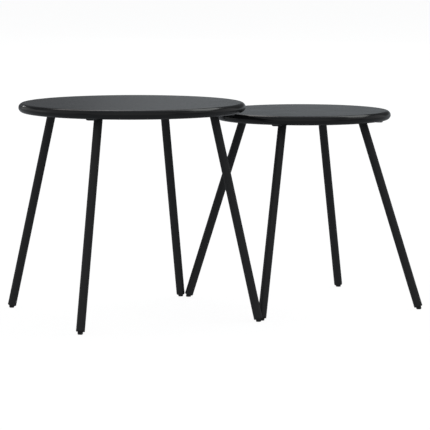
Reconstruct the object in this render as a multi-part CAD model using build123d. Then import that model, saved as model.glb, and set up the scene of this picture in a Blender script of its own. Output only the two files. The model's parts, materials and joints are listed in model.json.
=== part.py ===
from build123d import *
from dataclasses import dataclass
from math import atan, degrees, radians, tan
import os

# A set of two round steel nesting tables, in millimetres.
# +X runs from the large table to the small one and +Z is up.
# The origin is on the floor, under the middle of the whole set.

# Driving dimensions: the two tables
LARGE_TOP_DIAMETER = 500.0
LARGE_HEIGHT = 472.0
LARGE_FOOT_RADIUS = 296.5      # where the leg axes reach the floor, from the table's centre
SMALL_TOP_DIAMETER = 400.0
SMALL_HEIGHT = 442.0
SMALL_FOOT_RADIUS = 278.5
TABLE_PITCH = 419.5            # between the two centres when the small table is pushed in

# Pressed sheet top with a full-round rim and a hem turned in underneath
RIM_ROUND = 10.0               # radius of the rim, so the top is twice this thick
SHEET = 1.2
HEM = 9.0

# Channel rails that cross under the top, with their flanges up
RAIL_WIDTH = 20.0
RAIL_WEB = 3.0
RAIL_FLANGE = 2.5
RAIL_END_INSET = 12.0          # from the edge of the top to the end of a rail's web
FLANGE_END_INSET = 24.0        # from the edge of the top to the end of its flanges
RAIL_CORNER = 4.0

# Round tube legs
TUBE_DIAMETER = 19.0
TUBE_WALL = 1.5
LEG_INSET = 59.0               # from the edge of the top to the leg's axis, at the rim's underside
TUBE_END_HEIGHT = 7.6          # along the leg's axis, from the floor to the tube's cut end

# Spigot under a rail that a leg slides on to, and the set screw that holds it
PLUG_CLEARANCE = 0.1           # radial, between a tube's bore and what fits in it
SPIGOT_LENGTH = 34.0
SCREW_DROP = 20.0              # along the axis, from the rail down to the set screw
SCREW_DIAMETER = 6.0
SCREW_LENGTH = 7.0
SCREW_RECESS = 0.4             # below the tube's surface
SCREW_HOLE_CLEARANCE = 0.2     # radial, in the tube's wall
HEX_KEY = 3.0                  # across flats
HEX_DEPTH = 3.0

# Plastic foot plug pressed into the end of each tube
FOOT_STEM_LENGTH = 18.0
FOOT_CORE_RADIUS = 6.6
FOOT_RIB_COUNT = 3
FOOT_RIB_WIDTH = 2.5
FOOT_COLLAR = 1.8
FOOT_COLLAR_EDGE = 1.1
FOOT_NUB_RADIUS = 5.8
FOOT_NUB_EDGE = 4.0

# The diagonals that the legs stand on, in degrees about +Z
CORNERS = {"back_right": 45.0, "back_left": 135.0, "front_left": 225.0, "front_right": 315.0}
LONG_RAIL_CORNER = "back_right"
HALF_RAIL_CORNERS = ("back_left", "front_right")


@dataclass
class Table:
    """One table of the set: its size and where its centre stands along X."""
    name: str
    top_radius: float
    height: float
    foot_radius: float
    centre_x: float

    @property
    def rim_bottom(self):
        return self.height - 2 * RIM_ROUND

    @property
    def rail_bottom(self):
        return self.rim_bottom - RAIL_WEB

    @property
    def leg_tilt(self):
        """Lean of a leg from the vertical, in degrees."""
        lean = self.foot_radius - (self.top_radius - LEG_INSET)
        return degrees(atan(lean / self.rim_bottom))

    def axis_length(self, height):
        """Distance along a leg's axis from the floor to a height."""
        return height / Vector(0, 0, 1).rotate(Axis.Y, -self.leg_tilt).Z

    def lean(self, solid):
        """Take a solid from the leg's own axis to the vertical plane that the leg stands in."""
        return Location((self.foot_radius, 0, 0)) * Rot(0, -self.leg_tilt, 0) * solid

    def place(self, solid, angle):
        """Turn a solid to one of the diagonals and move it to this table."""
        return Location((self.centre_x, 0, 0)) * Rot(0, 0, angle) * solid


def table_top(table):
    """Flat sheet disc whose edge rolls down and under in one full round, ending in a flat hem."""
    flat = table.top_radius - RIM_ROUND
    top = table.height
    middle = top - RIM_ROUND
    bottom = table.rim_bottom
    with BuildPart() as part:
        with BuildSketch(Plane.XZ):
            with BuildLine():
                Polyline(
                    (flat, bottom), (flat - HEM, bottom), (flat - HEM, bottom + SHEET), (flat, bottom + SHEET)
                )
                ThreePointArc((flat, bottom + SHEET), (flat + RIM_ROUND - SHEET, middle), (flat, top - SHEET))
                Polyline((flat, top - SHEET), (0, top - SHEET), (0, top), (flat, top))
                ThreePointArc((flat, top), (flat + RIM_ROUND, middle), (flat, bottom))
            make_face()
        revolve(axis=Axis.Z)
    return part.part


def channel(table, start, end, flange_start, flange_end, rounded_ends):
    """Rail along +X: a flat web below and two flanges that stand up to the sheet."""
    length = end - start
    middle = Location(((start + end) / 2, 0, table.rail_bottom + RAIL_WEB / 2))
    web = middle * Box(length, RAIL_WIDTH, RAIL_WEB)
    corners = [
        edge for edge in web.edges().filter_by(Axis.Z)
        if round(edge.center().X, 3) in rounded_ends
    ]
    rail = fillet(corners, RAIL_CORNER)
    rise = 2 * RIM_ROUND - SHEET
    for side in (-1, 1):
        flange_middle = Vector(
            (flange_start + flange_end) / 2,
            side * (RAIL_WIDTH - RAIL_FLANGE) / 2,
            table.rim_bottom + rise / 2,
        )
        rail += Location(flange_middle) * Box(flange_end - flange_start, RAIL_FLANGE, rise)
    return rail


def long_rail(table):
    """The rail that runs right across under the top."""
    end = table.top_radius - RAIL_END_INSET
    flange_end = table.top_radius - FLANGE_END_INSET
    return channel(table, -end, end, -flange_end, flange_end, (-end, end))


def half_rail(table):
    """A rail from the side of the long rail out to the rim."""
    start = RAIL_WIDTH / 2
    end = table.top_radius - RAIL_END_INSET
    return channel(table, start, end, start, table.top_radius - FLANGE_END_INSET, (end,))


def screw_axis(table):
    """Where a set screw enters the inner side of a leg, on the leg's own axis."""
    height = table.axis_length(table.rail_bottom) - SCREW_DROP
    return Location((0, 0, height)) * Rot(0, -90, 0)


def screw_hole(table, radius):
    """Round tool that cuts a set screw's hole from the leg's axis inwards."""
    depth = TUBE_DIAMETER
    return screw_axis(table) * Cylinder(radius, depth, align=(Align.CENTER, Align.CENTER, Align.MIN))


def below_rail(table, solid):
    """Cut a leaning solid flat where it meets the rail's underside."""
    return split(solid, bisect_by=Plane.XY.offset(table.rail_bottom), keep=Keep.BOTTOM)


def leg(table):
    """Straight tube, mitred to the rail above and cut square above its foot."""
    outer = TUBE_DIAMETER / 2
    length = table.axis_length(table.rail_bottom) + TUBE_DIAMETER - TUBE_END_HEIGHT
    seat = Location((0, 0, TUBE_END_HEIGHT))
    base = (Align.CENTER, Align.CENTER, Align.MIN)
    tube = seat * (Cylinder(outer, length, align=base) - Cylinder(outer - TUBE_WALL, length, align=base))
    tube -= screw_hole(table, SCREW_DIAMETER / 2 + SCREW_HOLE_CLEARANCE)
    return below_rail(table, table.lean(tube))


def spigot(table):
    """Solid steel stub under the rail, inside the top of a leg, tapped for the set screw."""
    radius = TUBE_DIAMETER / 2 - TUBE_WALL - PLUG_CLEARANCE
    bottom = table.axis_length(table.rail_bottom) - SPIGOT_LENGTH
    stub = Location((0, 0, bottom)) * Cylinder(
        radius, SPIGOT_LENGTH + TUBE_DIAMETER, align=(Align.CENTER, Align.CENTER, Align.MIN)
    )
    stub -= screw_hole(table, SCREW_DIAMETER / 2)
    return below_rail(table, table.lean(stub))


def set_screw(table):
    """Headless screw with a hexagon socket, just below the tube's surface."""
    face = TUBE_DIAMETER / 2 - SCREW_RECESS
    screw = Location((0, 0, face - SCREW_LENGTH / 2)) * Cylinder(SCREW_DIAMETER / 2, SCREW_LENGTH)
    socket = extrude(RegularPolygon(HEX_KEY / 2, 6, major_radius=False), HEX_DEPTH)
    screw -= Location((0, 0, face - HEX_DEPTH)) * socket
    return table.lean(screw_axis(table) * screw)


def foot(table):
    """Plug with a ribbed stem in the tube, a collar over its end and a rounded nub on the floor."""
    bore = TUBE_DIAMETER / 2 - TUBE_WALL - PLUG_CLEARANCE
    base = (Align.CENTER, Align.CENTER, Align.MIN)
    plug = Location((0, 0, TUBE_END_HEIGHT)) * Cylinder(FOOT_CORE_RADIUS, FOOT_STEM_LENGTH, align=base)
    rib_step = (FOOT_STEM_LENGTH - FOOT_RIB_WIDTH) / FOOT_RIB_COUNT
    for number in range(FOOT_RIB_COUNT):
        rib_height = TUBE_END_HEIGHT + rib_step * (number + 0.5)
        plug += Location((0, 0, rib_height)) * Cylinder(bore, FOOT_RIB_WIDTH, align=base)
    collar = Cylinder(TUBE_DIAMETER / 2, FOOT_COLLAR, align=base)
    collar = chamfer(collar.edges().sort_by(Axis.Z)[0], FOOT_COLLAR_EDGE)
    plug += Location((0, 0, TUBE_END_HEIGHT - FOOT_COLLAR)) * collar
    reach = FOOT_NUB_RADIUS * tan(radians(table.leg_tilt))
    nub_length = TUBE_END_HEIGHT - FOOT_COLLAR + reach
    nub = Cylinder(FOOT_NUB_RADIUS, nub_length, align=base)
    nub = fillet(nub.edges().sort_by(Axis.Z)[0], FOOT_NUB_EDGE)
    plug += Location((0, 0, -reach)) * nub
    return split(table.lean(plug), bisect_by=Plane.XY, keep=Keep.TOP)


def table_nodes(table):
    """Every separate piece of one table, by name."""
    nodes = {}
    nodes["top"] = table.place(table_top(table), 0)
    nodes["long_rail"] = table.place(long_rail(table), CORNERS[LONG_RAIL_CORNER])
    for corner in HALF_RAIL_CORNERS:
        nodes[f"half_rail_{corner}"] = table.place(half_rail(table), CORNERS[corner])
    screws = []
    for corner, angle in CORNERS.items():
        nodes[f"leg_{corner}"] = table.place(leg(table), angle)
        nodes[f"spigot_{corner}"] = table.place(spigot(table), angle)
        nodes[f"foot_{corner}"] = table.place(foot(table), angle)
        screws.append(table.place(set_screw(table), angle))
    nodes["set_screws"] = Compound(children=[screw.solid() for screw in screws])
    return {f"{table.name}_{node}": solid for node, solid in nodes.items()}


def main():
    os.makedirs("parts", exist_ok=True)
    large = Table("large", LARGE_TOP_DIAMETER / 2, LARGE_HEIGHT, LARGE_FOOT_RADIUS, 0.0)
    small = Table("small", SMALL_TOP_DIAMETER / 2, SMALL_HEIGHT, SMALL_FOOT_RADIUS, TABLE_PITCH)
    nodes = table_nodes(large) | table_nodes(small)
    boxes = [solid.bounding_box() for solid in nodes.values()]
    middle_x = (min(box.min.X for box in boxes) + max(box.max.X for box in boxes)) / 2
    for name, solid in nodes.items():
        export_step(Location((-middle_x, 0, 0)) * solid, f"parts/{name}.step")
    print(f"centres at x = {large.centre_x - middle_x:.3f} and {small.centre_x - middle_x:.3f}")


main()
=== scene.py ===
import bmesh
import bpy
import json
import random
from math import cos, pi, radians, sin, sqrt, tan
from mathutils import Matrix, Quaternion, Vector


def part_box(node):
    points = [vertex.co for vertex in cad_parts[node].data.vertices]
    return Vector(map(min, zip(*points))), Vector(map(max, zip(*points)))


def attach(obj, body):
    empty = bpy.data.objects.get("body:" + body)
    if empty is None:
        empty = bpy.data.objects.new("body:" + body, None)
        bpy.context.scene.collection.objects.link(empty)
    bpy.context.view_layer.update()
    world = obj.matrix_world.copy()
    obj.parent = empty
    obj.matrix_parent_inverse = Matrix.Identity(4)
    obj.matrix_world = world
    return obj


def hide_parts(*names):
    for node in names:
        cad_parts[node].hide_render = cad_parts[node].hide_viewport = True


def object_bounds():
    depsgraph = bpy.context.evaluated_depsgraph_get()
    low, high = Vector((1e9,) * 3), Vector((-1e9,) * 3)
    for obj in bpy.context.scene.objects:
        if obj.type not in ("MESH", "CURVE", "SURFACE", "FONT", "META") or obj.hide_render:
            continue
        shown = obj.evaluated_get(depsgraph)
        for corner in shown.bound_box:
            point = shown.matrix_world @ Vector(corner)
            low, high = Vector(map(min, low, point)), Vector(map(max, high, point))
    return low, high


# Two round steel nesting tables, with the detail and the finishes that the CAD leaves out.
# Everything is in the CAD's own frame, in metres: +X runs from the large table to the small one and
# +Z is up, from the floor.

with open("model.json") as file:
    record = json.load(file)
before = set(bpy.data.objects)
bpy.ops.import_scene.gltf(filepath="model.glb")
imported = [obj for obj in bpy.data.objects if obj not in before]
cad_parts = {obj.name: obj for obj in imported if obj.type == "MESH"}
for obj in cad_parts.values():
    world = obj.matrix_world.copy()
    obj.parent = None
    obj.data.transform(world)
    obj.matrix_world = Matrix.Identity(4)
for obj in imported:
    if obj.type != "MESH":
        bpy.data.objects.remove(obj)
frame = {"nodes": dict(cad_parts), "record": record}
CAD_BOX = [list(corner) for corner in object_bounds()]
MIDDLE = (Vector(CAD_BOX[0]) + Vector(CAD_BOX[1])) / 2
MM = 0.001
TOUCH = 0.01 * MM           # how near counts as on a face

# Camera: to the large table's side, a little above the tops, with a long lens
CAMERA_AZIMUTH = -24.714
CAMERA_ELEVATION = 6.579
CAMERA_DISTANCE = 5.725
CAMERA_LENS = 213.76
CAMERA_SENSOR = 36.0
CAMERA_REACH = 200.0
AIM_OFFSET = Vector((0.0102, -0.0075, -0.0224))    # from the middle of the set to the middle of the view

# Soft studio light: (azimuth, elevation, width, height, lean to the right) in degrees, radiance, colour,
# and the share of the width and of the height over which each side fades out. Azimuth 0 is in front of
# the set, 90 is to its right and 180 behind it.
LIGHT_DISTANCE = 12.0
SOFTBOXES = {
    "back_high_left": ((177, 47.5, 22, 11, 0), 2.2, (1.0, 0.97, 0.93), (0.06, 0.08)),
    "back_high_middle": ((158, 48, 16, 13, 0), 0.6, (1.0, 1.0, 1.0), (0.1, 0.1)),
    "back_high_right": ((105, 50.5, 56, 20, 0), 1.5, (0.97, 1.0, 0.98), (0.08, 0.06)),
    "back_spot": ((179.5, 16, 5, 5, 0), 3.0, (1.0, 1.0, 1.0), (0.2, 0.2)),
    "back_stem": ((157.2, 17.5, 4.5, 17, 0), 0.45, (1.0, 1.0, 1.0), (0.1, 0.1)),
    "back_left_arm": ((161.5, 34, 6, 19, -22), 0.75, (1.0, 1.0, 1.0), (0.1, 0.1)),
    "back_right_arm": ((157, 34, 5, 19, 10), 0.3, (1.0, 1.0, 1.0), (0.1, 0.1)),
    "back_low": ((132, 2, 60, 11, 0), 0.145, (0.9, 1.0, 1.05), (0.16, 0.2)),
    "back_left_low": ((215, 12, 66, 30, 0), 0.26, (1.0, 1.0, 1.0), (0.2, 0.25)),
    "left": ((252, 26, 72, 60, 0), 0.24, (1.0, 1.0, 1.0), (0.25, 0.25)),
    "front": ((-25, 28, 100, 64, 0), 0.27, (1.0, 1.0, 1.0), (0.25, 0.25)),
    "front_right": ((45, 28, 40, 40, 0), 0.3, (1.0, 1.0, 1.0), (0.3, 0.3)),
    "right": ((86, 18, 60, 44, 0), 0.25, (1.0, 1.0, 1.0), (0.25, 0.25)),
}

# Grey of the studio around, by the height of its direction, and the pale floor and backdrop
WORLD_TINT = (0.96, 1.0, 1.06)
WORLD_STOPS = ((-0.10, 0.22), (-0.02, 0.115), (0.11, 0.115), (0.18, 0.075), (0.7, 0.075), (0.9, 0.3))
STAGE_REACH = 30.0
STAGE_ROUGHNESS = 0.9
FLOOR_GREY = 0.25
FLOOR_GLOW = 0.93
BACKDROP_GREY = 0.0
BACKDROP_GLOW = 1.0

# The diagonals that the legs stand on, in degrees about +Z
CORNERS = {"back_right": 45.0, "back_left": 135.0, "front_left": 225.0, "front_right": 315.0}
LONG_RAIL = "back_right"
HALF_RAILS = ("back_left", "front_right")

# Pressed top: the sheet, and the hem that its rolled rim ends in
SHEET = 1.2 * MM
HEM = 9.0 * MM
TOP_SEGMENTS = 256
RIM_STEPS = 30
HEM_EDGE_STEPS = 6
FLAT_RINGS = 9
SUPPORT = 0.4 * MM          # from a tangent edge to the ring that keeps the flat's shading flat

# Channel rails
RAIL_WIDTH = 20.0 * MM
RAIL_FLANGE = 2.5 * MM
RAIL_BEND = 1.0 * MM        # inside a rail's bend
RAIL_CORNER = 4.0 * MM
TONGUE_INSET = 12.0 * MM    # from the edge of the top to the end of a rail
FLANGE_INSET = 24.0 * MM
BEND_STEPS = 6
TONGUE_STEPS = 4            # round a tongue's corner, with the last step wider than the edge break
EDGE_BREAK = 0.25 * MM
EDGE_BREAK_SEGMENTS = 2
NO_LENGTH = 0.002 * MM      # edges shorter than this are taken out
PIECE_SHARP = 35.0          # degrees between faces that still look smooth

# Weld beads
WELD_SHARP = 60.0           # degrees between faces that still look smooth
BEAD_STEP = 0.45 * MM
BEAD_RIPPLE = 1.5 * MM      # from one ripple to the next
BEAD_SINK = 0.15 * MM       # into the steel
BEAD_POINTS = 6             # steps across a bead
BEAD_FULLNESS = 0.22        # how far a fillet bulges, as a share of its size
BEAD_BLUNT = 0.04           # how blunt its ends are: the square of their share of its full size
RIPPLE_HEIGHT = 0.07
RIPPLE_LAG = 0.35           # how far the middle of a ripple trails its edges, in ripples
RIPPLE_CHANCE = 0.03
TONGUE_BEAD = 1.9 * MM
CORNER_BEAD = 2.4 * MM
STITCH_BEAD = 2.6 * MM
STITCH_LENGTH = 18.0 * MM
STITCH_PLACES = (0.38, 0.88)    # along a rail, as shares of its flanges' reach
BUTT_WIDTH = 5.0 * MM
BUTT_HEIGHT = 0.7 * MM
BUTT_MARGIN = 1.0 * MM      # from the rail's sides to the ends of the bead between two webs
CORNER_LIFT = 1.0 * MM      # from the hem's level to the foot of the bead between two flanges
CORNER_DROP = 4.0 * MM      # from the sheet to that bead's head
TONGUE_ARC_STEPS = 14

# Foot plugs
TUBE_RADIUS = 9.5 * MM
BORE_RADIUS = 7.9 * MM
CORE_RADIUS = 6.6 * MM
TUBE_END = 7.6 * MM         # along a leg's axis, from the floor
STEM_LENGTH = 18.0 * MM
STEM_RIBS = 3
RIB_WIDTH = 2.5 * MM
COLLAR = 1.8 * MM
COLLAR_ROUND = 1.1 * MM
NUB_RADIUS = 5.8 * MM
NUB_ROUND = 4.0 * MM
NECK_ROUND = 0.5 * MM
STEM_BREAK = 0.3 * MM       # chamfer on the stem's end and on its ribs
COLLAR_BREAK = 0.2 * MM     # chamfer on the collar where it meets the tube
FOOT_SEGMENTS = 64
COLLAR_STEPS = 5
NECK_STEPS = 4
NUB_STEPS = 8

# Finishes: pairs are the darker and the lighter patches, or the smoother and the rougher ones
MOST_OF_A_NOISE = (0.3, 0.7)
TOP_BLACKS = ((0.0165, 0.0172, 0.0180), (0.0215, 0.0222, 0.0230))
TOP_FLECK = (0.034, 0.034, 0.035)
TOP_ROUGHNESS = (0.13, 0.155)
TOP_SCRATCHES = ((12, (1.2, 60, 1)), (-35, (1.5, 75, 1)), (78, (1.0, 55, 1)))     # turn in degrees, stretch
SCRATCH_ROUGHNESS = 0.05
FRAME_BLACKS = ((0.031, 0.0314, 0.0319), (0.040, 0.0405, 0.0411))
FRAME_FLECK = (0.058, 0.058, 0.059)
FRAME_RUBBED = (0.085, 0.083, 0.08)
FRAME_ROUGHNESS = (0.47, 0.56)
RUBBED_PALENESS = 0.5
RUBBED_POLISH = 0.12        # how much less rough the rubbed places are
FOOT_BLACKS = ((0.022, 0.022, 0.0225), (0.029, 0.029, 0.0295))
FOOT_SCUFF = (0.07, 0.068, 0.065)
FOOT_ROUGHNESS = (0.5, 0.6)
STEEL_COLOURS = ((0.030, 0.030, 0.033), (0.075, 0.072, 0.070))
STEEL_ROUGHNESS = (0.28, 0.46)
STEEL_METALLIC = 0.7

# Places of the mix node's sockets for colours, because several of its sockets share each name
MIX_FACTOR = 0
MIX_FIRST = 6
MIX_SECOND = 7
MIX_RESULT = 2


# ---------------------------------------------------------------- frame

class Table:
    """One table of the set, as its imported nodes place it."""

    def __init__(self, name):
        low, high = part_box(f"{name}_top")
        self.name = name
        self.body = f"{name}_table"
        self.radius = (high.y - low.y) / 2
        self.centre = Vector(((low.x + high.x) / 2, (low.y + high.y) / 2, 0))
        self.height = high.z
        self.rim_bottom = low.z
        self.rim_round = (high.z - low.z) / 2
        self.rail_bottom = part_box(f"{name}_long_rail")[0].z

    def turned(self, corner):
        """Matrix from a frame with +X along one of the diagonals to the row frame."""
        return Matrix.Translation(self.centre) @ Matrix.Rotation(radians(CORNERS[corner]), 4, "Z")

    def leg_frame(self, corner):
        """Matrix from a frame with +Z up a leg's axis and its origin on the floor to the row frame."""
        points = [vertex.co for vertex in frame["nodes"][f"{self.name}_leg_{corner}"].data.vertices]
        half_height = self.rail_bottom / 2
        low = box_middle([point for point in points if point.z < half_height])
        high = box_middle([point for point in points if point.z > self.rail_bottom - TOUCH])
        axis = (high - low).normalized()
        floor_point = low - axis * (low.z / axis.z)
        return Matrix.Translation(floor_point) @ axis.to_track_quat("Z", "Y").to_matrix().to_4x4()


def box_middle(points):
    """Middle of the box around some points."""
    low = Vector([min(point[axis] for point in points) for axis in range(3)])
    high = Vector([max(point[axis] for point in points) for axis in range(3)])
    return (low + high) / 2


# ---------------------------------------------------------------- studio

def direction(azimuth, elevation):
    """Unit vector from the set towards something at that azimuth and elevation, in degrees."""
    azimuth, elevation = radians(azimuth), radians(elevation)
    return Vector((sin(azimuth) * cos(elevation), -cos(azimuth) * cos(elevation), sin(elevation)))


def make_camera():
    data = bpy.data.cameras.new("camera")
    data.lens = CAMERA_LENS
    data.sensor_width = CAMERA_SENSOR
    data.clip_end = CAMERA_REACH
    camera = bpy.data.objects.new("camera", data)
    bpy.context.scene.collection.objects.link(camera)
    towards = direction(CAMERA_AZIMUTH, CAMERA_ELEVATION)
    camera.location = MIDDLE + AIM_OFFSET + towards * CAMERA_DISTANCE
    camera.rotation_euler = towards.to_track_quat("Z", "Y").to_euler()
    bpy.context.scene.camera = camera


def make_softbox(name, place, radiance, colour, fades):
    """Rectangular light, far enough off for its size in degrees to be the same over the whole set."""
    azimuth, elevation, width, height, lean = place
    data = bpy.data.lights.new(name, "AREA")
    data.shape = "RECTANGLE"
    data.size = 2 * LIGHT_DISTANCE * tan(radians(width / 2))
    data.size_y = 2 * LIGHT_DISTANCE * tan(radians(height / 2))
    data.energy = radiance * pi * data.size * data.size_y
    data.color = colour
    fade_sides(data, fades)
    light = bpy.data.objects.new(name, data)
    bpy.context.scene.collection.objects.link(light)
    towards = direction(azimuth, elevation)
    light.location = MIDDLE + towards * LIGHT_DISTANCE
    upright = towards.to_track_quat("Z", "Y")
    light.rotation_euler = (upright @ Quaternion((0, 0, 1), radians(lean))).to_euler()


def fade_sides(data, fades):
    """Let a softbox fade out towards its sides, as its cloth does."""
    data.use_nodes = True
    nodes, links = data.node_tree.nodes, data.node_tree.links
    place = nodes.new("ShaderNodeNewGeometry")
    split = nodes.new("ShaderNodeSeparateXYZ")
    links.new(place.outputs["Parametric"], split.inputs["Vector"])
    strength = None
    for axis, fade in zip("XY", fades):
        for near, far in ((0, fade), (1, 1 - fade)):
            side = nodes.new("ShaderNodeMapRange")
            side.interpolation_type = "SMOOTHSTEP"
            side.inputs["From Min"].default_value = near
            side.inputs["From Max"].default_value = far
            links.new(split.outputs[axis], side.inputs["Value"])
            if strength is None:
                strength = side.outputs["Result"]
                continue
            product = nodes.new("ShaderNodeMath")
            product.operation = "MULTIPLY"
            links.new(strength, product.inputs[0])
            links.new(side.outputs["Result"], product.inputs[1])
            strength = product.outputs["Value"]
    links.new(strength, nodes["Emission"].inputs["Strength"])


def make_world():
    """Grey studio, darkest from a little above the horizon to most of the way up."""
    world = bpy.data.worlds.new("studio")
    bpy.context.scene.world = world
    world.use_nodes = True
    nodes, links = world.node_tree.nodes, world.node_tree.links
    place = nodes.new("ShaderNodeTexCoord")
    split = nodes.new("ShaderNodeSeparateXYZ")
    ramp = nodes.new("ShaderNodeValToRGB")
    height = nodes.new("ShaderNodeMapRange")
    height.inputs["From Min"].default_value = -1
    links.new(place.outputs["Generated"], split.inputs["Vector"])
    links.new(split.outputs["Z"], height.inputs["Value"])
    links.new(height.outputs["Result"], ramp.inputs["Fac"])
    links.new(ramp.outputs["Color"], nodes["Background"].inputs["Color"])
    elements = ramp.color_ramp.elements
    while len(elements) < len(WORLD_STOPS):
        elements.new(0.5)
    for element, (z, grey) in zip(elements, WORLD_STOPS):
        element.position = (z + 1) / 2
        element.color = (*(grey * share for share in WORLD_TINT), 1)


def stage_piece(name, corners, faces, grey, glow):
    """Pale part of the studio, with a glow of its own, that the object neither reflects nor is lit by."""
    mesh = bpy.data.meshes.new(name)
    mesh.from_pydata(corners, [], faces)
    piece = bpy.data.objects.new(name, mesh)
    bpy.context.scene.collection.objects.link(piece)
    material = bpy.data.materials.new(name)
    material.use_nodes = True
    shader = material.node_tree.nodes["Principled BSDF"]
    shader.inputs["Base Color"].default_value = (grey, grey, grey, 1)
    shader.inputs["Roughness"].default_value = STAGE_ROUGHNESS
    shader.inputs["Specular IOR Level"].default_value = 0.0
    shader.inputs["Emission Color"].default_value = (1, 1, 1, 1)
    shader.inputs["Emission Strength"].default_value = glow
    mesh.materials.append(material)
    piece.visible_glossy = False
    piece.visible_diffuse = False
    return piece


def make_stage():
    """Pale floor that is as bright as the background of a product picture, and a backdrop round it."""
    reach = STAGE_REACH
    ground = [(-reach, -reach, 0), (reach, -reach, 0), (reach, reach, 0), (-reach, reach, 0)]
    stage_piece("floor", ground, [(0, 1, 2, 3)], FLOOR_GREY, FLOOR_GLOW)
    raised = [(x, y, reach) for x, y, _ in ground]
    walls = [(side, (side + 1) % 4, (side + 1) % 4 + 4, side + 4) for side in range(4)]
    backdrop = stage_piece("backdrop", ground + raised, walls, BACKDROP_GREY, BACKDROP_GLOW)
    backdrop.visible_shadow = False


# ---------------------------------------------------------------- finishes

class Nodes:
    """A material's node tree, with short ways to add what the finishes share."""

    def __init__(self, name):
        self.material = bpy.data.materials.new(name)
        self.material.use_nodes = True
        self.tree = self.material.node_tree
        self.shader = self.tree.nodes["Principled BSDF"]
        self.place = self.tree.nodes.new("ShaderNodeTexCoord")

    def link(self, output, socket):
        self.tree.links.new(output, socket)

    def noise(self, grains, detail=2.0, stretch=(1, 1, 1), turn=0.0):
        """Noise of about that many grains to the metre, as a number from 0 to 1."""
        mapping = self.tree.nodes.new("ShaderNodeMapping")
        mapping.inputs["Scale"].default_value = stretch
        mapping.inputs["Rotation"].default_value = (0, 0, radians(turn))
        texture = self.tree.nodes.new("ShaderNodeTexNoise")
        texture.inputs["Scale"].default_value = grains
        texture.inputs["Detail"].default_value = detail
        self.link(self.place.outputs["Object"], mapping.inputs["Vector"])
        self.link(mapping.outputs["Vector"], texture.inputs["Vector"])
        return texture.outputs["Fac"]

    def remap(self, value, span, to=(0, 1)):
        """Spread a span of values over another, and hold it there beyond."""
        node = self.tree.nodes.new("ShaderNodeMapRange")
        for name, number in zip(("From Min", "From Max", "To Min", "To Max"), span + to):
            node.inputs[name].default_value = number
        self.link(value, node.inputs["Value"])
        return node.outputs["Result"]

    def near_floor(self, full, none):
        """1 up to one height, falling to 0 at a greater one."""
        split = self.tree.nodes.new("ShaderNodeSeparateXYZ")
        self.link(self.place.outputs["Object"], split.inputs["Vector"])
        return self.remap(split.outputs["Z"], (full, none), (1, 0))

    def math(self, operation, first, second):
        node = self.tree.nodes.new("ShaderNodeMath")
        node.operation = operation
        for socket, value in zip(node.inputs, (first, second)):
            if isinstance(value, (int, float)):
                socket.default_value = value
            else:
                self.link(value, socket)
        return node.outputs["Value"]

    def colours(self, value, first, second):
        """Blend two colours by a number from 0 to 1. A colour may be another blend's output."""
        node = self.tree.nodes.new("ShaderNodeMix")
        node.data_type = "RGBA"
        self.link(value, node.inputs[MIX_FACTOR])
        for number, colour in ((MIX_FIRST, first), (MIX_SECOND, second)):
            if isinstance(colour, tuple):
                node.inputs[number].default_value = (*colour, 1)
            else:
                self.link(colour, node.inputs[number])
        return node.outputs[MIX_RESULT]

    def bump(self, height, depth, before=None):
        """Bump of that depth, on top of an earlier one."""
        node = self.tree.nodes.new("ShaderNodeBump")
        node.inputs["Distance"].default_value = depth
        self.link(height, node.inputs["Height"])
        if before is not None:
            self.link(before, node.inputs["Normal"])
        return node.outputs["Normal"]

    def finish(self, colour, roughness, normal):
        """Connect the shader, and give the material."""
        self.link(colour, self.shader.inputs["Base Color"])
        self.link(roughness, self.shader.inputs["Roughness"])
        self.link(normal, self.shader.inputs["Normal"])
        return self.material


def top_paint():
    """Smooth satin black powder coat on the pressed tops, with faint orange peel and hair scratches."""
    nodes = Nodes("top_paint")
    patches = nodes.noise(grains=14)
    flecks = nodes.remap(nodes.noise(grains=900, detail=1), span=(0.62, 0.72), to=(0, 0.35))
    colour = nodes.colours(patches, *TOP_BLACKS)
    colour = nodes.colours(flecks, colour, TOP_FLECK)
    scratches = None
    for turn, stretch in TOP_SCRATCHES:
        line = nodes.noise(grains=9, detail=3, stretch=stretch, turn=turn)
        line = nodes.remap(line, span=(0.66, 0.72))
        scratches = line if scratches is None else nodes.math("MAXIMUM", scratches, line)
    roughness = nodes.remap(patches, span=MOST_OF_A_NOISE, to=TOP_ROUGHNESS)
    roughness = nodes.math("ADD", roughness, nodes.math("MULTIPLY", scratches, SCRATCH_ROUGHNESS))
    orange_peel = nodes.bump(nodes.noise(grains=380, detail=1), depth=0.009 * MM)
    grain = nodes.bump(nodes.noise(grains=1500, detail=2), depth=0.0015 * MM, before=orange_peel)
    return nodes.finish(colour, roughness, grain)


def frame_powder_coat():
    """Finely grained black powder coat on rails and legs, rubbed a little near the floor."""
    nodes = Nodes("frame_powder_coat")
    patches = nodes.noise(grains=22)
    grain = nodes.noise(grains=1100, detail=3)
    colour = nodes.colours(patches, *FRAME_BLACKS)
    colour = nodes.colours(nodes.remap(grain, span=(0.5, 0.75), to=(0, 0.5)), colour, FRAME_FLECK)
    low = nodes.near_floor(full=15 * MM, none=110 * MM)
    scuffs = nodes.remap(nodes.noise(grains=70, detail=6, stretch=(1, 1, 0.35)), span=(0.63, 0.69))
    rubbed = nodes.math("MULTIPLY", scuffs, low)
    colour = nodes.colours(nodes.math("MULTIPLY", rubbed, RUBBED_PALENESS), colour, FRAME_RUBBED)
    roughness = nodes.remap(patches, span=MOST_OF_A_NOISE, to=FRAME_ROUGHNESS)
    roughness = nodes.math("SUBTRACT", roughness, nodes.math("MULTIPLY", rubbed, RUBBED_POLISH))
    fine = nodes.bump(grain, depth=0.022 * MM)
    normal = nodes.bump(nodes.noise(grains=260, detail=1), depth=0.018 * MM, before=fine)
    return nodes.finish(colour, roughness, normal)


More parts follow.
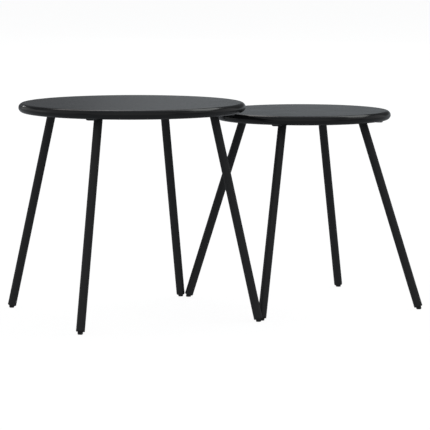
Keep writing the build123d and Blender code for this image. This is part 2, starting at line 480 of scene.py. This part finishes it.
def foot_plastic():
    """Black moulded plastic with a fine spark-eroded grain, scuffed where it slides on the floor."""
    nodes = Nodes("foot_plastic")
    grain = nodes.noise(grains=2200, detail=2)
    patches = nodes.noise(grains=60)
    low = nodes.near_floor(full=0.5 * MM, none=3 * MM)
    scuffs = nodes.remap(nodes.noise(grains=500, detail=4), span=(0.45, 0.62))
    colour = nodes.colours(patches, *FOOT_BLACKS)
    colour = nodes.colours(nodes.math("MULTIPLY", scuffs, low), colour, FOOT_SCUFF)
    roughness = nodes.remap(patches, span=MOST_OF_A_NOISE, to=FOOT_ROUGHNESS)
    return nodes.finish(colour, roughness, nodes.bump(grain, depth=0.016 * MM))


def dark_steel():
    """Black-oxide steel of the set screws and spigots, slightly oily and uneven."""
    nodes = Nodes("dark_steel")
    stains = nodes.noise(grains=220, detail=5)
    turning = nodes.noise(grains=400, detail=2, stretch=(1, 1, 6))
    colour = nodes.colours(stains, *STEEL_COLOURS)
    roughness = nodes.remap(stains, span=MOST_OF_A_NOISE, to=STEEL_ROUGHNESS)
    nodes.shader.inputs["Metallic"].default_value = STEEL_METALLIC
    return nodes.finish(colour, roughness, nodes.bump(turning, depth=0.01 * MM))


# ---------------------------------------------------------------- mesh helpers

def new_piece(name, bm, table, slot, *nodes, sharp=PIECE_SHARP, edge_break=0.0):
    """Finish a mesh as a piece that rides on its table and stands for those CAD nodes."""
    bmesh.ops.recalc_face_normals(bm, faces=bm.faces)
    mesh = bpy.data.meshes.new(name)
    bm.to_mesh(mesh)
    bm.free()
    mesh.materials.append(FINISHES[slot])
    piece = bpy.data.objects.new(name, mesh)
    bpy.context.scene.collection.objects.link(piece)
    if edge_break:
        bevel = piece.modifiers.new("edge_break", "BEVEL")
        bevel.width = edge_break
        bevel.segments = EDGE_BREAK_SEGMENTS
        bevel.limit_method = "ANGLE"
        bevel.angle_limit = radians(sharp)
        bevel.use_clamp_overlap = False
        settled = piece.evaluated_get(bpy.context.evaluated_depsgraph_get())
        piece.data = bpy.data.meshes.new_from_object(settled)
        piece.modifiers.clear()
        piece.data.name = name
        drop_slivers(piece.data)
    for polygon in piece.data.polygons:
        polygon.use_smooth = True
    piece.data.set_sharp_from_angle(angle=radians(sharp))
    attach(piece, table.body)
    if nodes:
        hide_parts(*nodes)


def drop_slivers(mesh):
    """Split faces of many corners into triangles, and take out those with no area."""
    bm = bmesh.new()
    bm.from_mesh(mesh)
    bmesh.ops.triangulate(bm, faces=[face for face in bm.faces if len(face.verts) > 4])
    bmesh.ops.dissolve_degenerate(bm, dist=NO_LENGTH, edges=bm.edges)
    bm.to_mesh(mesh)
    bm.free()


def spread(start, end, steps):
    """Even steps from start to end, both counted."""
    return [start + (end - start) * step / steps for step in range(steps + 1)]


def arc(x, y, radius, start, end, steps):
    """Points round an arc, its angles in degrees."""
    turns = [radians(angle) for angle in spread(start, end, steps)]
    return [(x + radius * cos(turn), y + radius * sin(turn)) for turn in turns]


def lathe(bm, profile, place, segments):
    """Turn a profile of (radius, height) about +Z. A radius of 0 makes a pole."""
    rings = []
    for radius, height in profile:
        if radius == 0:
            rings.append([bm.verts.new(place @ Vector((0, 0, height)))] * segments)
            continue
        turns = [2 * pi * step / segments for step in range(segments)]
        points = [Vector((radius * cos(turn), radius * sin(turn), height)) for turn in turns]
        rings.append([bm.verts.new(place @ point) for point in points])
    for first, second in zip(rings, rings[1:]):
        for here in range(segments):
            there = (here + 1) % segments
            corners = dict.fromkeys((first[here], first[there], second[there], second[here]))
            bm.faces.new(list(corners))


def bridge(bm, first, second):
    """Quads between two closed rings of as many points."""
    for here in range(len(first)):
        there = (here + 1) % len(first)
        bm.faces.new((first[here], first[there], second[there], second[here]))


# ---------------------------------------------------------------- pieces

def make_top(table):
    """Pressed sheet: a flat disc, a full round rim and a hem turned in underneath."""
    edge = table.radius - table.rim_round
    middle = table.height - table.rim_round
    ceiling = table.height - SHEET
    hem_middle = table.rim_bottom + SHEET / 2
    rings = [edge * step / FLAT_RINGS for step in range(FLAT_RINGS)]
    profile = [(radius, table.height) for radius in rings] + [(edge - SUPPORT, table.height)]
    profile += arc(edge, middle, table.rim_round, 90, -90, RIM_STEPS)
    profile += [(edge - SUPPORT, table.rim_bottom)]
    profile += arc(edge - HEM + SHEET / 2, hem_middle, SHEET / 2, -90, -270, HEM_EDGE_STEPS)
    profile += [(edge - SUPPORT, table.rim_bottom + SHEET)]
    profile += arc(edge, middle, table.rim_round - SHEET, -90, 90, RIM_STEPS)
    profile += [(edge - SUPPORT, ceiling)] + [(radius, ceiling) for radius in reversed(rings)]
    bm = bmesh.new()
    lathe(bm, profile, Matrix.Translation(table.centre), TOP_SEGMENTS)
    new_piece(f"{table.name}_pressed_top", bm, table, "top_paint", f"{table.name}_top")


def rail_outline(table, inset):
    """A rail's outline across its length, narrowed by inset on each side, as (across, height) points."""
    side = RAIL_WIDTH / 2 - inset
    web_top = table.rim_bottom
    flange_top = table.height - SHEET
    bend = web_top - table.rail_bottom
    inner = side - RAIL_FLANGE
    below = arc(-side + bend, web_top, bend, 180, 270, BEND_STEPS)
    below += arc(side - bend, web_top, bend, 270, 360, BEND_STEPS)
    inside = arc(inner - RAIL_BEND, web_top + RAIL_BEND, RAIL_BEND, 0, -90, BEND_STEPS)
    right = [(side, flange_top), (inner, flange_top)] + inside
    left = [(-across, height) for across, height in reversed(right)]
    return below, right, left


def rail_ring(bm, table, place, along, inset=0.0):
    """One ring of points of a rail: below, right flange, left flange."""
    stretches = rail_outline(table, inset)
    return [
        [bm.verts.new(place @ Vector((along, across, height))) for across, height in stretch]
        for stretch in stretches
    ]


def whole(ring):
    """All of a ring's points in one row."""
    below, right, left = ring
    return below + right + left


def web_only(ring):
    """The part of a ring that goes on past the flanges."""
    below, right, left = ring
    return below + [right[-1], left[0]]


def add_tongue(bm, table, place, ring, way):
    """Carry a rail's web on past the end of its flanges to a rounded end under the rim."""
    below, right, left = ring
    bm.faces.new([below[-1]] + right)
    bm.faces.new(left + [below[0]])
    end = table.radius - TONGUE_INSET
    last = web_only(ring)
    for turn in spread(0, 90, TONGUE_STEPS):
        along = end - RAIL_CORNER * (1 - sin(radians(turn)))
        inset = RAIL_CORNER * (1 - cos(radians(turn)))
        points = rail_ring(bm, table, place, way * along, inset)
        used = web_only(points)
        # A tongue has no flanges, so their points go
        spare = [point for point in whole(points) if point not in used]
        bmesh.ops.delete(bm, geom=spare, context="VERTS")
        bridge(bm, last, used)
        last = used
    bm.faces.new(last)


def make_rails(table):
    """The long rail, and the two half rails that are welded to its sides."""
    flange_end = table.radius - FLANGE_INSET
    place = table.turned(LONG_RAIL)
    bm = bmesh.new()
    near = rail_ring(bm, table, place, -flange_end)
    far = rail_ring(bm, table, place, flange_end)
    bridge(bm, whole(near), whole(far))
    add_tongue(bm, table, place, near, -1)
    add_tongue(bm, table, place, far, 1)
    node = f"{table.name}_long_rail"
    new_piece(f"{node}_channel", bm, table, "frame_powder_coat", node, edge_break=EDGE_BREAK)
    for corner in HALF_RAILS:
        place = table.turned(corner)
        bm = bmesh.new()
        near = rail_ring(bm, table, place, RAIL_WIDTH / 2)
        far = rail_ring(bm, table, place, flange_end)
        bridge(bm, whole(near), whole(far))
        bm.faces.new(whole(near))
        add_tongue(bm, table, place, far, 1)
        node = f"{table.name}_half_rail_{corner}"
        new_piece(f"{node}_channel", bm, table, "frame_powder_coat", node, edge_break=EDGE_BREAK)


def fillet_section(size):
    """A slightly full fillet in a corner, as (along the wall, away from it) points."""
    points = [(-BEAD_SINK, -BEAD_SINK)]
    for t in spread(0, 1, BEAD_POINTS):
        full = BEAD_FULLNESS * size * sin(pi * t)
        points.append((size * (1 - t) + full - BEAD_SINK * t, size * t + full - BEAD_SINK * (1 - t)))
    return points


def butt_section(width, height):
    """A low bead over a joint between two flush faces."""
    shares = spread(0, 1, BEAD_POINTS)
    return [(-BEAD_SINK * 2, 0.0)] + [(height * sin(pi * t) - BEAD_SINK, width * (t - 0.5)) for t in shares]


def add_bead(bm, path, wall, section, chance):
    """Lay a rippled bead along a path. wall is the direction of the section's first measure."""
    size = max(max(point) for point in section)
    length = sum((b - a).length for a, b in zip(path, path[1:]))
    travelled = 0.0
    rings = []
    for number, point in enumerate(path):
        before, after = path[max(number - 1, 0)], path[min(number + 1, len(path) - 1)]
        if number:
            travelled += (point - before).length
        tangent = (after - before).normalized()
        away = tangent.cross(wall).normalized()
        end_gap = min(travelled, length - travelled)
        taper = sqrt(max(BEAD_BLUNT, 1 - (1 - min(end_gap / size, 1)) ** 2))
        ripple = 1 + RIPPLE_HEIGHT * sin(2 * pi * travelled / BEAD_RIPPLE)
        ripple += chance.uniform(-RIPPLE_CHANCE, RIPPLE_CHANCE)
        ring = []
        for index, (out, across) in enumerate(section):
            lag = RIPPLE_LAG * BEAD_RIPPLE * sin(pi * index / (len(section) - 1)) * taper
            scale = taper * ripple if out > 0 or across > 0 else 1.0
            ring.append(bm.verts.new(point + wall * out * scale + away * across * scale - tangent * lag))
        if rings:
            bridge(bm, rings[-1], ring)
        rings.append(ring)
    bm.faces.new(rings[0])
    bm.faces.new(rings[-1])


def straight(start, end):
    """Points along a straight bead."""
    steps = round((end - start).length / BEAD_STEP)
    return [start.lerp(end, t) for t in spread(0, 1, steps)]


def tongue_path(table):
    """Round a rail's end on the hem, from its right side to its left."""
    side = RAIL_WIDTH / 2
    end = table.radius - TONGUE_INSET
    start = table.radius - table.rim_round - HEM + SHEET
    corner = end - RAIL_CORNER
    steps = round((corner - start) / BEAD_STEP)
    outline = [(along, side) for along in spread(start, corner, steps)][:-1]
    outline += arc(corner, side - RAIL_CORNER, RAIL_CORNER, 90, 0, TONGUE_ARC_STEPS)
    outline += [(along, -across) for along, across in reversed(outline)]
    return [Vector((along, across, table.rim_bottom)) for along, across in reversed(outline)]


def make_welds(table):
    """Beads round the rail ends, where the half rails meet the long rail, and from flanges to sheet."""
    chance = random.Random(table.name)
    down = Vector((0, 0, -1))
    side = RAIL_WIDTH / 2
    ceiling = table.height - SHEET
    bm = bmesh.new()

    def lay(corner, path, wall, section):
        place = table.turned(corner)
        add_bead(bm, [place @ point for point in path], place.to_3x3() @ wall, section, chance)

    for corner in CORNERS:
        lay(corner, tongue_path(table), down, fillet_section(TONGUE_BEAD))
    for corner in HALF_RAILS:
        reach = side - BUTT_MARGIN
        under = [Vector((side, across, table.rail_bottom)) for across in (-reach, reach)]
        lay(corner, straight(*under), down, butt_section(BUTT_WIDTH, BUTT_HEIGHT))
        for across in (-side, side):
            foot = Vector((side, across, table.rim_bottom + CORNER_LIFT))
            head = Vector((side, across, ceiling - CORNER_DROP))
            ends = (foot, head) if across > 0 else (head, foot)
            lay(corner, straight(*ends), Vector((1, 0, 0)), fillet_section(CORNER_BEAD))
    reach = table.radius - FLANGE_INSET
    for corner in CORNERS:
        for share in STITCH_PLACES:
            for across in (-side, side):
                near = Vector((reach * share - STITCH_LENGTH / 2, across, ceiling))
                far = near + Vector((STITCH_LENGTH, 0, 0))
                ends = (near, far) if across < 0 else (far, near)
                lay(corner, straight(*ends), down, fillet_section(STITCH_BEAD))
    new_piece(f"{table.name}_rail_welds", bm, table, "frame_powder_coat", sharp=WELD_SHARP)


def foot_profile():
    """Half section of a foot plug, as (radius, height) points, from its stem down to its nub's neck."""
    stem_top = TUBE_END + STEM_LENGTH
    rib_step = (STEM_LENGTH - RIB_WIDTH) / STEM_RIBS
    cut = STEM_BREAK
    profile = [(0, stem_top), (CORE_RADIUS - cut, stem_top), (CORE_RADIUS, stem_top - cut)]
    for number in reversed(range(STEM_RIBS)):
        low = TUBE_END + rib_step * (number + 0.5)
        high = low + RIB_WIDTH
        profile += [(CORE_RADIUS, high), (BORE_RADIUS - cut, high), (BORE_RADIUS, high - cut)]
        profile += [(BORE_RADIUS, low + cut), (BORE_RADIUS - cut, low), (CORE_RADIUS, low)]
    collar_side = TUBE_RADIUS - COLLAR_ROUND
    collar_bottom = TUBE_END - COLLAR
    neck = NUB_RADIUS + NECK_ROUND
    profile += [(CORE_RADIUS, TUBE_END), (TUBE_RADIUS - COLLAR_BREAK, TUBE_END)]
    profile += [(TUBE_RADIUS, TUBE_END - COLLAR_BREAK)]
    profile += arc(collar_side, collar_bottom + COLLAR_ROUND, COLLAR_ROUND, 0, -90, COLLAR_STEPS)
    profile += arc(neck, collar_bottom - NECK_ROUND, NECK_ROUND, 90, 180, NECK_STEPS)
    return profile


def make_feet(table):
    """Plugs with a ribbed stem inside the tube, a collar over its end and a nub that stands flat."""
    for corner in CORNERS:
        place = table.leg_frame(corner)
        axis = place.to_3x3() @ Vector((0, 0, 1))
        reach = NUB_RADIUS * sqrt(1 / axis.z ** 2 - 1)
        profile = foot_profile()
        profile += arc(NUB_RADIUS - NUB_ROUND, NUB_ROUND - reach, NUB_ROUND, 0, -90, NUB_STEPS)
        profile += [(0, -reach)]
        bm = bmesh.new()
        lathe(bm, profile, place, FOOT_SEGMENTS)
        parts = list(bm.verts) + list(bm.edges) + list(bm.faces)
        floor = {"plane_co": (0, 0, 0), "plane_no": (0, 0, 1)}
        cut = bmesh.ops.bisect_plane(bm, geom=parts, clear_inner=True, **floor)
        rim = [part for part in cut["geom_cut"] if isinstance(part, bmesh.types.BMEdge)]
        bmesh.ops.contextual_create(bm, geom=rim)
        node = f"{table.name}_foot_{corner}"
        new_piece(f"{node}_plug", bm, table, "foot_plastic", node)


# ---------------------------------------------------------------- build

make_camera()
make_world()
make_stage()
for box_name, softbox in SOFTBOXES.items():
    make_softbox(box_name, *softbox)
bpy.context.scene.view_settings.view_transform = "Standard"

FINISHES = {
    "top_paint": top_paint(),
    "frame_powder_coat": frame_powder_coat(),
    "foot_plastic": foot_plastic(),
    "dark_steel": dark_steel(),
}
for part in frame["record"]["subparts"]:
    node_object = frame["nodes"][part["node"]]
    node_object.data.materials.clear()
    node_object.data.materials.append(FINISHES[part["material_slot"]])

for table_name in ("large", "small"):
    this_table = Table(table_name)
    make_top(this_table)
    make_rails(this_table)
    make_welds(this_table)
    make_feet(this_table)
